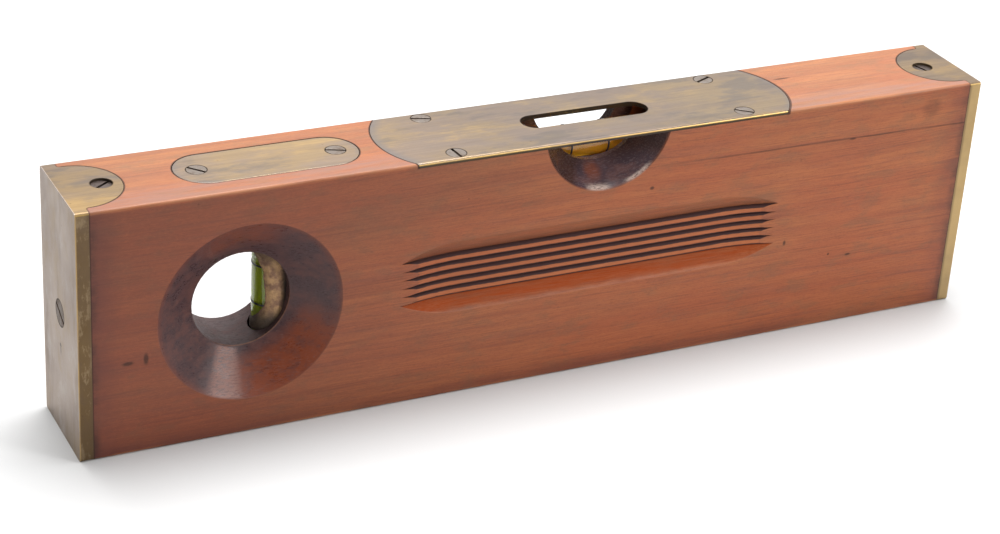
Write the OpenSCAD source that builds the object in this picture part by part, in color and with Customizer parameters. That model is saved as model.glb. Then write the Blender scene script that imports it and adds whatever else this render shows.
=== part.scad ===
// Wooden plumb and level with inlaid brass ends, a brass sight plate and two glass vials.
// Lengths are in millimetres. X runs along the stock, Y through its thickness (front is -Y), Z up from the base.
// The origin is the middle of the base.

/* [Stock] */
// Length over the brass ends
overall_l = 254; // [230:1:310]
// Thickness from front to back
stock_w = 28.5; // [27:0.5:34]
// Height from base to top
stock_h = 67; // [66:0.5:76]
// Rounding of the long edges of wood, caps and sight plate
arris_r = 0.7; // [0.3:0.1:1.1]

/* [End caps] */
// Thickness of the brass plate over each end
cap_t = 3.4; // [2.6:0.1:4.5]
// Radius of the round lug let into top and base
lug_r = 11.5; // [9:0.1:12.5]
// Straight part of the lug between the plate and its round end
lug_straight = 0.8; // [0.5:0.1:3]
// Thickness of the lug
lug_t = 2.4; // [1.8:0.1:3.2]
// Fillet where the lug leaves the plate
lug_fillet_r = 1; // [0.6:0.1:1.5]
// Screw in the left lugs, from the left end
left_lug_screw_x = 10.8; // [9:0.1:13]
// Screw in the right lugs, from the right end
right_lug_screw_x = 9.6; // [8.5:0.1:13]
// How far the lug screws lie below the brass
lug_screw_sink = 0.6; // [0.1:0.1:1]
// Height of the screw in each end face
end_screw_z = 34; // [26:0.5:42]

/* [Sight plate] */
// Length of the sight plate from tip to tip
sight_plate_l = 116.4; // [105:0.2:122]
// Gap between the sight plate and the plumb plate
plate_gap = 5.3; // [2:0.1:10]
// Thickness of both brass plates
plate_t = 1.2; // [0.9:0.1:1.8]
// Radius of the sight plate's rounded ends
sight_end_r = 21.5; // [18:0.5:40]
// Length of the sighting slot
sight_slot_l = 36.1; // [26:0.1:40]
// Width of the sighting slot
sight_slot_w = 7.8; // [5:0.1:9.5]
// Distance between the sight plate's screws along the stock
sight_screw_dx = 82.8; // [66:0.2:92]
// Distance between the sight plate's screws across the stock
sight_screw_dy = 21.8; // [18:0.2:22]

/* [Plumb plate] */
// Length of the round-ended plate over the plumb glass
plumb_plate_l = 47.4; // [44:0.2:54]
// Width of that plate
plumb_plate_w = 16.4; // [14:0.2:20]
// Middle of that plate, from the left end
plumb_plate_x = 52.4; // [48:0.2:54]
// Distance between that plate's screws
plumb_screw_dx = 36; // [30:0.2:38]

/* [Eyes] */
// Radius of the round hole at the plumb glass and at the level glass
eye_r = 12.8; // [11.6:0.1:13.4]
// Middle of the plumb eye, from the left end
plumb_eye_x = 43.7; // [42:0.1:47]
// Height of the middle of the plumb eye
plumb_eye_z = 33.5; // [31:0.1:36]
// Radius of the plumb eye's cone at the faces
plumb_mouth_r = 24; // [20:0.1:25]
// Height of the middle of the level eye above the top
level_eye_rise = 3.1; // [2:0.1:4.5]
// Radius of the level eye's cone at the faces
level_mouth_r = 18.2; // [15:0.1:20]
// Depth of the front cones
cone_front = 7.5; // [6.5:0.1:8]
// Depth of the back cones
cone_back = 6; // [5:0.1:8]

/* [Vials] */
// Outer radius of each glass vial
vial_r = 4.4; // [3.8:0.1:4.6]
// Wall of the glass
vial_wall = 0.9; // [0.7:0.1:1.2]
// Length of each vial without its nib
vial_l = 46; // [44:0.5:48]
// Depth of the level vial's axis below the top
level_vial_drop = 6.85; // [6.4:0.05:7.6]
// Axis of the plumb vial, from the left end
plumb_vial_x = 53.5; // [52.5:0.1:54]
// Height of the middle of the plumb vial
plumb_vial_z = 34; // [32.5:0.5:36]
// Distance between the two black lines on each vial
mark_gap = 10.7; // [9:0.1:13]
// Width of a black line
mark_w = 0.5; // [0.3:0.1:0.8]
// Length of the level bubble
bubble_l = 10.4; // [8:0.1:12]
// Depth of the level bubble
bubble_h = 3.9; // [3:0.1:4.3]
// Width of the level bubble
bubble_w = 5.8; // [4.5:0.1:6.2]
// Length of the plumb bubble, which fills its upright tube
plumb_bubble_l = 7.6; // [7:0.1:10]

/* [Hand grips] */
// Length of the reeded grip on each face
grip_l = 110.2; // [90:0.2:125]
// Middle of the grip, from the middle of the sight plate
grip_shift = -1.6; // [-6:0.2:6]
// Height of the middle of the grip
grip_z = 34; // [31:0.5:37]
// Number of reeds
reeds = 5; // [4:1:6]
// Distance from one reed to the next
reed_spacing = 2.35; // [2:0.05:2.4]
// Depth of the reeds' crests below the face
reed_crest = 1.2; // [0.8:0.1:1.6]
// Depth of the valleys between the reeds
grip_depth = 2.3; // [1.9:0.1:2.6]
// Height of the plain slope above and below the reeds
grip_slope = 4.3; // [3:0.1:6]
// Radius of the cutter that runs out at the grip's ends
cutter_r = 70; // [45:1:90]

/* [Screws] */
// Radius of the steel heads in the brass plates
plate_head_r = 2.5; // [2.2:0.1:2.8]
// Radius of the steel heads in the lugs
lug_head_r = 2.7; // [2.4:0.1:3]
// Radius of the brass heads in the end faces
end_head_r = 3.35; // [3:0.05:3.8]
// Radius of the shank of the plate and lug screws
shank_r = 1.2; // [1:0.1:1.4]
// Radius of the shank of the end screws
end_shank_r = 1.7; // [1.4:0.1:2]
// Length of the plate screws
plate_screw_l = 10; // [8:0.5:12]
// Length of the lug screws
lug_screw_l = 12; // [10:0.5:13]
// Length of the end screws
end_screw_l = 16; // [12:0.5:18]
// Width of the driver slots
driver_slot_w = 0.7; // [0.5:0.1:1]
// Depth of the driver slots
driver_slot_d = 0.6; // [0.4:0.1:0.8]

/* [Fits] */
// Gap between the inlaid brass and the wood around it
inlay_fit = 0.15; // [0.05:0.05:0.3]
// Gap round the screws
screw_fit = 0.05; // [0.03:0.01:0.1]
// Gap round the vials in their plaster
vial_fit = 0.2; // [0.15:0.01:0.25]
// Gap between plaster and wood
bed_fit = 0.04; // [0.02:0.01:0.08]
// Gap between liquid and glass
film = 0.05; // [0.03:0.01:0.08]
// Gap round each bubble
bubble_fit = 0.15; // [0.1:0.01:0.2]
// Room for plaster round each vial in the wood
bed_wall = 0.9; // [0.6:0.1:1.1]

/* [Hidden] */

$fn = 96;
// Facets of the large cutter, which shows only as a long shallow curve
cutter_fn = 360;
// How far a cut runs past the face that it opens
past = 2;

// Ends, and places measured from the left end
left_x = -overall_l / 2;
right_x = overall_l / 2;
wood_l = overall_l - 2 * cap_t;
plumb_eye_at = left_x + plumb_eye_x;
plumb_plate_at = left_x + plumb_plate_x;
plumb_vial_at = left_x + plumb_vial_x;
// Middle of the sight plate and of the level vial, and middle of the grips
level_x = plumb_plate_at + plumb_plate_l / 2 + plate_gap + sight_plate_l / 2;
grip_x = level_x + grip_shift;
level_eye_z = stock_h + level_eye_rise;
level_vial_z = stock_h - level_vial_drop;
plate_under_z = stock_h - plate_t;

// Inside of the vials
vial_in_r = vial_r - vial_wall;
vial_half = vial_l / 2;
vial_in_half = vial_half - vial_wall;
// The drawn nib that seals one end of each vial
nib_r = 0.9;
nib_l = 1.6;
// The black lines are a thin ring of paint
mark_t = 0.12;
mark_lift = 0.01;

// Round-bottomed mortise and upright bore that hold the vials, with room past each nib
nib_room = 0.9;
mortise_r = vial_r + bed_wall;
mortise_half = vial_half + nib_l + nib_room;
plumb_bore_bottom = plumb_vial_z - vial_half - nib_l - nib_room;

// The level vial's two beds start this far outside the eye, and end this far below the vial's axis
bed_inset = 1;
bed_start = eye_r + bed_inset;
bed_below_axis = 0.6;
// Length of the plumb vial's collars, and how far the upper one stands above the vial
collar_l = 8;
collar_over = 1;
// The plumb vial's long bed keeps to the side away from the eye, trimmed back from its wall
bed_side = 0.8;
eye_trim = 0.2;

// The bubbles at rest
bubble_top_r = vial_in_r - bubble_fit;
plumb_bubble_top = plumb_vial_z + vial_in_half - bubble_fit;
plumb_bubble_low = plumb_bubble_top - plumb_bubble_l + bubble_top_r;

// Each reed is a round ridge that falls from crest to valley in half a pitch; neighbours just overlap
reed_drop = grip_depth - reed_crest;
reed_overlap = 0.01;
reed_r = (reed_spacing * reed_spacing / 4 + reed_drop * reed_drop) / (2 * reed_drop) + reed_overlap;
reed_half = reeds * reed_spacing / 2;
runout = sqrt(2 * cutter_r * grip_depth - grip_depth * grip_depth);
grip_straight = grip_l - 2 * runout;

// Countersunk screws: a short land above a 90 degree cone, and a blunt point
head_land = 0.3;
point_l = 3;
point_r = 0.2;

// Turn of each driver slot as the screws stand, in degrees from the length of the stock; the sight
// plate's are its left pair and its right pair, each front first
sides = [-1, 1];
sight_turns = [[-85, -20], [-39, 25]];
plumb_turns = [-49, -22];
left_lug_turn = 35;
right_lug_turn = -75;
left_end_turn = 62;
right_end_turn = 18;

brass = "darkkhaki";
worn_brass = "goldenrod";
steel = "silver";
wood = "sienna";
clear = "lightcyan";
liquid = "yellowgreen";

// Section across the stock, base on the axis
module section() {
  translate([0, stock_h / 2]) {
    square([stock_w - 2 * arris_r, stock_h], center = true);
    square([stock_w, stock_h - 2 * arris_r], center = true);
    for (y = [-1, 1], z = [-1, 1])
      translate([y * (stock_w / 2 - arris_r), z * (stock_h / 2 - arris_r)]) circle(r = arris_r);
  }
}

// Stands a drawing of Y and Z on end and runs it from x for length l
module along_x(x, l) {
  translate([x, 0, 0]) rotate([90, 0, 90]) linear_extrude(l) children();
}

// Round-ended bar in plan
module stadium(l, w) {
  square([l - w, w], center = true);
  for (s = [-1, 1]) translate([s * (l - w) / 2, 0]) circle(d = w);
}

// Countersunk screw pointing down, with its head's face at the origin; gap widens it and above raises its top
module screw_body(head_r, body_r, l, gap = 0, above = 0) {
  land_z = -head_land - gap;
  rotate_extrude() polygon([
    [0, above],
    [head_r + gap, above],
    [head_r + gap, land_z],
    [body_r + gap, land_z - (head_r - body_r)],
    [body_r + gap, point_l - l],
    [point_r + gap, -l - gap],
    [0, -l - gap]
  ]);
}

module screw(head_r, body_r, l, turn) {
  difference() {
    screw_body(head_r, body_r, l);
    rotate([0, 0, turn]) translate([0, 0, -driver_slot_d / 2 + past / 2])
      cube([3 * head_r, driver_slot_w, driver_slot_d + past], center = true);
  }
}

// The hole that takes a screw, open above its head
module screw_hole(head_r, body_r, l) {
  screw_body(head_r, body_r, l, screw_fit, past);
}

// Places children at one screw of the sight plate, or at each
module at_sight_screw(i, j) {
  translate([level_x + sides[i] * sight_screw_dx / 2, sides[j] * sight_screw_dy / 2, stock_h]) children();
}

module at_sight_screws() {
  for (i = [0, 1], j = [0, 1]) at_sight_screw(i, j) children();
}

module at_plumb_screw(i) {
  translate([plumb_plate_at + sides[i] * plumb_screw_dx / 2, 0, stock_h]) children();
}

module at_plumb_screws() {
  for (i = [0, 1]) at_plumb_screw(i) children();
}

// The screw in the top lug, and the one in the base lug pointing up
module at_lug_screws(x) {
  translate([x, 0, stock_h - lug_screw_sink]) children();
  translate([x, 0, lug_screw_sink]) mirror([0, 0, 1]) children();
}

module at_end_screw(side) {
  translate([side * overall_l / 2, 0, end_screw_z]) rotate([0, side * 90, 0]) children();
}

// Plan of one lug, growing towards +X from within the plate, whose inner face is at 0
module lug_plan(gap = 0) {
  root = cap_t / 2;
  translate([lug_straight, 0]) circle(r = lug_r + gap);
  translate([-root, -lug_r - gap]) square([root + lug_straight, 2 * (lug_r + gap)]);
  for (s = [-1, 1]) difference() {
    translate([0, s * (lug_r + lug_fillet_r / 2)]) square([2 * lug_fillet_r, lug_fillet_r], center = true);
    translate([lug_fillet_r, s * (lug_r + lug_fillet_r)]) circle(r = lug_fillet_r - gap);
  }
}

// Both lugs of the left cap, or with a gap the pockets that they lie in
module lugs(gap = 0) {
  intersection() {
    union() {
      translate([left_x + cap_t, 0, stock_h - lug_t]) linear_extrude(lug_t + past) lug_plan(gap);
      translate([left_x + cap_t, 0, -past]) linear_extrude(lug_t + past) lug_plan(gap);
    }
    translate([left_x + cap_t / 2, -stock_w / 2, -past])
      cube([cap_t / 2 + lug_straight + lug_r + gap + past, stock_w, stock_h + 2 * past]);
  }
}

// Left cap as a solid; the right one is its mirror image with its own screw holes
module cap_body() {
  along_x(left_x, cap_t) section();
  intersection() {
    lugs();
    along_x(left_x, overall_l) section();
  }
}

module cap(side, lug_screw_at) {
  difference() {
    if (side < 0) cap_body();
    else mirror([1, 0, 0]) cap_body();
    at_end_screw(side) screw_hole(end_head_r, end_shank_r, end_screw_l);
    at_lug_screws(lug_screw_at) screw_hole(lug_head_r, shank_r, lug_screw_l);
  }
}

// Plan of the sight plate, or with a gap of its seat
module sight_plan(gap = 0) {
  round_at = sight_plate_l / 2 - sight_end_r;
  band = stock_w + 2 * past;
  translate([level_x, 0]) intersection() {
    square([sight_plate_l + 2 * gap, band], center = true);
    union() {
      square([2 * round_at, band], center = true);
      for (s = [-1, 1]) translate([s * round_at, 0]) circle(r = sight_end_r + gap);
    }
  }
}

module plumb_plan(gap = 0) {
  translate([plumb_plate_at, 0]) stadium(plumb_plate_l + 2 * gap, plumb_plate_w + 2 * gap);
}

// One eye: a cylinder through the web and a cone from each face, all round a Y axis
module eye(x, z, mouth_r) {
  spread = (mouth_r - eye_r) / cone_front;
  spread_back = (mouth_r - eye_r) / cone_back;
  half = stock_w / 2;
  translate([x, 0, z]) rotate([90, 0, 0]) {
    cylinder(r = eye_r, h = stock_w + 2 * past, center = true);
    translate([0, 0, half - cone_front])
      cylinder(r1 = eye_r, r2 = mouth_r + spread * past, h = cone_front + past);
    translate([0, 0, -half - past])
      cylinder(r1 = mouth_r + spread_back * past, r2 = eye_r, h = cone_back + past);
  }
}

// Depth and height of the grip's cut, with the reeds left standing
module grip_profile() {
  difference() {
    polygon([
      [-past, -reed_half - grip_slope * (1 + past / grip_depth)],
      [grip_depth, -reed_half],
      [grip_depth, reed_half],
      [-past, reed_half + grip_slope * (1 + past / grip_depth)]
    ]);
    for (i = [0 : reeds - 1])
      translate([reed_crest + reed_r, (i - (reeds - 1) / 2) * reed_spacing]) circle(r = reed_r, $fn = 48);
  }
}

// The grip's cut in the front face: straight in the middle, with the cutter's run-out at both ends
module front_grip() {
  translate([grip_x, -stock_w / 2, grip_z]) {
    rotate([90, 0, 90]) linear_extrude(grip_straight, center = true) grip_profile();
    for (s = [-1, 1])
      translate([s * grip_straight / 2, grip_depth - cutter_r, 0])
        rotate_extrude($fn = cutter_fn)
          translate([cutter_r - grip_depth, 0]) grip_profile();
  }
}

module level_mortise() {
  along_x(level_x - mortise_half, 2 * mortise_half) {
    translate([0, level_vial_z]) circle(r = mortise_r);
    translate([-mortise_r, level_vial_z]) square([2 * mortise_r, stock_h - level_vial_z + past]);
  }
}

module plumb_bore() {
  translate([plumb_vial_at, 0, plumb_bore_bottom])
    cylinder(r = mortise_r, h = stock_h - plumb_bore_bottom + past);
}

module stock() {
  color(wood) difference() {
    along_x(left_x + cap_t, wood_l) section();
    lugs(inlay_fit);
    mirror([1, 0, 0]) lugs(inlay_fit);
    translate([0, 0, plate_under_z]) linear_extrude(plate_t + past) sight_plan(inlay_fit);
    translate([0, 0, plate_under_z]) linear_extrude(plate_t + past) plumb_plan(inlay_fit);
    level_mortise();
    plumb_bore();
    eye(plumb_eye_at, plumb_eye_z, plumb_mouth_r);
    eye(level_x, level_eye_z, level_mouth_r);
    front_grip();
    mirror([0, 1, 0]) front_grip();
    at_sight_screws() screw_hole(plate_head_r, shank_r, plate_screw_l);
    at_plumb_screws() screw_hole(plate_head_r, shank_r, plate_screw_l);
    at_lug_screws(left_x + left_lug_screw_x) screw_hole(lug_head_r, shank_r, lug_screw_l);
    at_lug_screws(right_x - right_lug_screw_x) screw_hole(lug_head_r, shank_r, lug_screw_l);
    for (side = [-1, 1]) at_end_screw(side) screw_hole(end_head_r, end_shank_r, end_screw_l);
  }
}

module left_end_cap() {
  color(brass) cap(-1, left_x + left_lug_screw_x);
}

module right_end_cap() {
  color(brass) cap(1, right_x - right_lug_screw_x);
}

module left_end_screw() {
  color(worn_brass) at_end_screw(-1) screw(end_head_r, end_shank_r, end_screw_l, left_end_turn);
}

module right_end_screw() {
  color(worn_brass) at_end_screw(1) screw(end_head_r, end_shank_r, end_screw_l, right_end_turn);
}

module left_lug_screws() {
  color(steel) at_lug_screws(left_x + left_lug_screw_x) screw(lug_head_r, shank_r, lug_screw_l, left_lug_turn);
}

module right_lug_screws() {
  color(steel) at_lug_screws(right_x - right_lug_screw_x) screw(lug_head_r, shank_r, lug_screw_l, right_lug_turn);
}

module sight_plate() {
  color(brass) difference() {
    intersection() {
      along_x(left_x, overall_l) section();
      translate([0, 0, plate_under_z]) linear_extrude(plate_t + past) sight_plan();
    }
    translate([level_x, 0, plate_under_z - past])
      linear_extrude(plate_t + 2 * past) stadium(sight_slot_l, sight_slot_w);
    at_sight_screws() screw_hole(plate_head_r, shank_r, plate_screw_l);
  }
}

module sight_plate_screws() {
  color(steel) for (i = [0, 1], j = [0, 1])
    at_sight_screw(i, j) screw(plate_head_r, shank_r, plate_screw_l, sight_turns[i][j]);
}

module plumb_plate() {
  color(brass) difference() {
    translate([0, 0, plate_under_z]) linear_extrude(plate_t) plumb_plan();
    at_plumb_screws() screw_hole(plate_head_r, shank_r, plate_screw_l);
  }
}

module plumb_plate_screws() {
  color(steel) for (i = [0, 1])
    at_plumb_screw(i) screw(plate_head_r, shank_r, plate_screw_l, plumb_turns[i]);
}

// Upright rod with round ends, centred on the origin
module round_rod(r, half) {
  cylinder(r = r, h = 2 * (half - r), center = true);
  for (s = [-1, 1]) translate([0, 0, s * (half - r)]) sphere(r = r);
}

// Outside of a vial with its nib below; gap widens it to the bore in its plaster
module vial_outside(gap = 0) {
  round_rod(vial_r + gap, vial_half + gap);
  translate([0, 0, -vial_half - nib_l + nib_r]) {
    cylinder(r = nib_r + gap, h = vial_r);
    sphere(r = nib_r + gap, $fn = 32);
  }
}

module vial_tube() {
  difference() {
    vial_outside();
    round_rod(vial_in_r, vial_in_half);
  }
}

// The two black lines round a vial
module vial_rings() {
  for (s = [-1, 1]) translate([0, 0, s * mark_gap / 2]) difference() {
    cylinder(r = vial_r + mark_lift + mark_t, h = mark_w, center = true);
    cylinder(r = vial_r + mark_lift, h = mark_w + past, center = true);
  }
}

// Lays an upright vial piece along X in the level mortise, nib to the left
module in_level() {
  translate([level_x, 0, level_vial_z]) rotate([0, 90, 0]) children();
}

// Stands a vial piece in the plumb bore, nib down
module in_plumb() {
  translate([plumb_vial_at, 0, plumb_vial_z]) children();
}

// Block that bounds the level bubble: round-ended in plan, rounded below in elevation
module bubble_block(gap = 0) {
  intersection() {
    translate([level_x, 0, level_vial_z - vial_r]) linear_extrude(3 * vial_r)
      stadium(bubble_l + 2 * gap, bubble_w + 2 * gap);
    translate([level_x, 0, level_vial_z + bubble_top_r]) rotate([90, 0, 0])
      linear_extrude(4 * vial_r, center = true) stadium(bubble_l + 2 * gap, 2 * (bubble_h + gap));
  }
}

module level_vial_glass() {
  color(clear, 0.35) in_level() vial_tube();
}

module level_vial_spirit() {
  color(liquid, 0.6) difference() {
    in_level() round_rod(vial_in_r - film, vial_in_half - film);
    bubble_block(bubble_fit);
  }
}

module level_vial_bubble() {
  color(clear, 0.5) intersection() {
    bubble_block();
    in_level() cylinder(r = bubble_top_r, h = vial_l, center = true);
  }
}

module level_vial_lines() {
  color("black") in_level() vial_rings();
}

// Two beds under the ends of the level vial, below its axis
module level_vial_plaster() {
  color("wheat") difference() {
    intersection() {
      for (s = [-1, 1])
        along_x(level_x + s * (bed_start + mortise_half) / 2 - (mortise_half - bed_start) / 2 + bed_fit,
                mortise_half - bed_start - 2 * bed_fit)
          translate([0, level_vial_z]) circle(r = mortise_r - bed_fit);
      translate([level_x - mortise_half, -mortise_r, level_vial_z - 2 * mortise_r])
        cube([2 * mortise_half, 2 * mortise_r, 2 * mortise_r - bed_below_axis]);
    }
    in_level() vial_outside(vial_fit);
  }
}

module plumb_vial_glass() {
  color(clear, 0.35) in_plumb() vial_tube();
}

module plumb_vial_spirit() {
  color(liquid, 0.6) difference() {
    in_plumb() round_rod(vial_in_r - film, vial_in_half - film);
    translate([plumb_vial_at, 0, plumb_bubble_low]) {
      sphere(r = bubble_top_r + bubble_fit);
      cylinder(r = vial_r, h = vial_l);
    }
  }
}

module plumb_vial_bubble() {
  color(clear, 0.5)
    translate([plumb_vial_at, 0, plumb_bubble_top - plumb_bubble_l / 2])
      round_rod(bubble_top_r, plumb_bubble_l / 2);
}

module plumb_vial_lines() {
  color("black") in_plumb() vial_rings();
}

// A collar round each end of the plumb vial, joined by a bed on the side away from the eye
module plumb_vial_plaster() {
  top = plumb_vial_z + vial_half + collar_over;
  bottom = plumb_bore_bottom;
  color("wheat") difference() {
    translate([plumb_vial_at, 0, bottom]) cylinder(r = mortise_r - bed_fit, h = top - bottom);
    in_plumb() vial_outside(vial_fit);
    translate([plumb_vial_at - 2 * mortise_r + bed_side, -mortise_r, bottom + collar_l])
      cube([2 * mortise_r, 2 * mortise_r, top - bottom - 2 * collar_l]);
    translate([plumb_eye_at, 0, plumb_eye_z]) rotate([90, 0, 0])
      cylinder(r = eye_r + eye_trim, h = stock_w, center = true);
  }
}

stock();
left_end_cap();
right_end_cap();
left_end_screw();
right_end_screw();
left_lug_screws();
right_lug_screws();
sight_plate();
sight_plate_screws();
plumb_plate();
plumb_plate_screws();
level_vial_glass();
level_vial_spirit();
level_vial_bubble();
level_vial_lines();
level_vial_plaster();
plumb_vial_glass();
plumb_vial_spirit();
plumb_vial_bubble();
plumb_vial_lines();
plumb_vial_plaster();
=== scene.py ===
# Dresses the plumb and level: worn varnished wood, old brass plates, slotted screws and two spirit vials.
# X runs along the stock, Y through its thickness with the front at -Y, Z up from the base.
# Lengths are in metres, and inside the materials in millimetres.

import math

import bmesh
import bpy
from bpy.props import FloatProperty, FloatVectorProperty, IntProperty, PointerProperty
from mathutils import Matrix, Quaternion, Vector, noise


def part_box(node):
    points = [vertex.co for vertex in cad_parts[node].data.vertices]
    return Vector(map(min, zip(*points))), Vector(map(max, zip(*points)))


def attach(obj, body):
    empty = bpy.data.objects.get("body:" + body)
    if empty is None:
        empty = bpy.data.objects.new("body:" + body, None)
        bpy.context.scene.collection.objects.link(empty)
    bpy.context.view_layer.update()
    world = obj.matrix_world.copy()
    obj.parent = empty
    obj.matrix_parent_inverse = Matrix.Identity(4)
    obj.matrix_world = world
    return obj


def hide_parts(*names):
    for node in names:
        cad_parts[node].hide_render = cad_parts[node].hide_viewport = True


bl_info = {
    "name": "Plumb and level",
    "version": (1, 0, 0),
    "blender": (4, 5, 0),
    "location": "3D View > Sidebar > Level",
    "description": "Builds the looks of a wooden plumb and level round its packed frame",
    "category": "Object",
}

MM = 0.001
SAME_POINT = 0.002 * MM
DEGREES = 57.3
X_AXIS, Y_AXIS, Z_AXIS = Vector((1, 0, 0)), Vector((0, 1, 0)), Vector((0, 0, 1))
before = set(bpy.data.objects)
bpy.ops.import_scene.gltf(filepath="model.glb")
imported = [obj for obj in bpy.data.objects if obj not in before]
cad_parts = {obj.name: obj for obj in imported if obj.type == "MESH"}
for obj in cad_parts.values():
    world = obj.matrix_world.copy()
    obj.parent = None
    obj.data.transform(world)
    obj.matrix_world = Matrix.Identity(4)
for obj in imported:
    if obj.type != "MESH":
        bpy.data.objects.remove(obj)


# Sizes and colours


def tint(name, description, default, most=1):
    return FloatVectorProperty(
        name=name, description=description, default=default, subtype="COLOR", min=0, max=most
    )


def size(name, description, default, least, most):
    """A length, given in millimetres."""
    return FloatProperty(
        name=name, description=description, default=default * MM, min=least * MM, max=most * MM, unit="LENGTH"
    )


def power(name, description, default):
    return FloatProperty(name=name, description=description, default=default, min=0, unit="POWER")


class StageSettings(bpy.types.PropertyGroup):
    lens: FloatProperty(
        name="Lens", description="Focal length on a 36 mm sensor", default=88.12, min=20, max=300
    )
    floor_tone: tint("Floor", "Colour of the floor", (0.6, 0.6, 0.6))
    surround: FloatProperty(
        name="Surround", description="Strength of the light all round", default=0.32, min=0, max=5
    )
    key_power: power("Key", "Power of the light overhead", 19.0)
    back_power: power("Back", "Power of the wide light behind", 10.5)
    side_power: power("Side", "Power of the light at the front right", 1.9)


class WoodSettings(bpy.types.PropertyGroup):
    light_tone: tint("Light grain", "Lightest colour of the grain", (0.40, 0.125, 0.042))
    dark_tone: tint("Dark grain", "Darker bands of the grain", (0.305, 0.086, 0.032))
    warm_tone: tint("Warm clouds", "Redder wood in slow clouds", (0.37, 0.088, 0.030))
    deep_tone: tint("Deep streaks", "Fibres and pores", (0.12, 0.036, 0.020))
    smoke_tone: tint("Smoky corner", "Duller wood at the upper left", (0.19, 0.085, 0.040))
    haze_tone: tint("Purple haze", "Streaks of purple in the varnish", (0.19, 0.070, 0.045))
    sun_tone: tint("Faded top", "How light has yellowed the top, as a multiplier", (0.95, 1.11, 1.05), 2)
    # Painted sheen: a greyer band along the front of the top stands in for a reflection
    sheen_tone: tint("Top edge", "Greyer wood along the front of the top", (0.26, 0.13, 0.095))
    burgundy_tone: tint("Burgundy", "Wood beside the brass and at the base", (0.105, 0.030, 0.025))
    worn_tone: tint("Worn edge", "Bare wood on worn edges", (0.50, 0.20, 0.085))
    # Also used for painted shadow in the level eye and in the gaps round the brass
    dirt_tone: tint("Dirt", "Dirt in joints, dents and cracks", (0.035, 0.016, 0.011))
    stain_tone: tint("Eye varnish", "Old varnish in the eyes", (0.050, 0.029, 0.034))
    stain_warm_tone: tint("Eye varnish, worn", "Where that varnish is thin", (0.105, 0.046, 0.042))
    scratch_tone: tint("Eye scratches", "Fine rubbed marks in that varnish", (0.17, 0.105, 0.095))
    level_tone: tint("Level eye", "How the varnish differs there, as a multiplier", (1.50, 1.80, 1.95), 2)
    pale_tone: tint("Level eye wear", "Places rubbed pale on the level eye's mouth", (0.72, 0.56, 0.48))
    # Painted highlight on the plumb eye's cone
    rubbed_tone: tint("Plumb eye wear", "The rubbed strip below the plumb eye's bore", (0.30, 0.155, 0.125))
    # Red varnish, and painted light on the lit lower right of the plumb eye's cone
    red_tone: tint("Eye varnish, red", "Where it glows red", (0.21, 0.045, 0.016))
    bore_tone: tint("Turned streaks", "Streaks round the inside of the plumb eye", (0.10, 0.062, 0.060))
    crest_tone: tint("Reed crests", "Wood rubbed orange on the reeds", (0.43, 0.120, 0.035))
    # Painted shade in the valleys between the reeds
    valley_tone: tint("Reed dirt", "Dirt between the reeds", (0.032, 0.014, 0.016))
    slope_tone: tint("Lower slope", "Bare slope below the reeds", (0.33, 0.048, 0.004))
    # Painted shade on the upper slope
    dusk_tone: tint("Upper slope", "Dull slope above the reeds", (0.135, 0.046, 0.022))
    softness: size("Softness", "Rounding of the wood's cut edges", 0.25, 0.05, 0.5)


class BrassSettings(bpy.types.PropertyGroup):
    khaki_tone: tint("Aged brass", "Colour of the dull surface", (0.33, 0.245, 0.150))
    grey_tone: tint("Grey clouds", "Greyer clouds", (0.27, 0.215, 0.180))
    gold_tone: tint("Golden clouds", "Where the brass is cleaner", (0.46, 0.325, 0.155))
    olive_tone: tint("Dark olive", "The left cap's long sides", (0.155, 0.100, 0.050))
    pale_tone: tint("Pale brass", "Pale clouds on the end faces", (0.46, 0.42, 0.39))
    end_tone: tint("End faces", "The greyer end faces", (0.39, 0.325, 0.285))
    blue_tone: tint("Blue tarnish", "Tarnish along the plates' edges", (0.16, 0.145, 0.145))
    tarnish_tone: tint("Brown spots", "Spots and fine marks", (0.15, 0.10, 0.06))
    worn_tone: tint("Worn edges", "Edges that hands have kept bright", (0.50, 0.33, 0.12))
    # Dirt, and painted shadow under the sight plate's edge
    joint_tone: tint("Joints", "Dirt round the screws and in the slot", (0.035, 0.026, 0.020))
    softness: size("Softness", "Rounding of the brass edges", 0.18, 0.05, 0.5)


class ScrewSettings(bpy.types.PropertyGroup):
    slot_width: size("Slot width", "Width of the driver slots", 0.7, 0.3, 1.2)
    slot_depth: size("Slot depth", "Depth of the driver slots", 0.55, 0.2, 1)
    softness: size("Softness", "Rounding of the screws' edges", 0.07, 0.02, 0.2)
    bright_tone: tint("Plate screws", "Steel of the screws in the plates", (0.205, 0.170, 0.145))
    dark_tone: tint("Lug screws", "Darkened steel of the screws in the lugs", (0.11, 0.085, 0.075))
    golden_tone: tint("End screws", "Brass of the screws in the end faces", (0.105, 0.070, 0.048))
    rust_tone: tint("Brown spots", "Spots on the screws", (0.12, 0.085, 0.060))
    black_tone: tint("Black spots", "Spots on the dark screws", (0.05, 0.04, 0.035))


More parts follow.
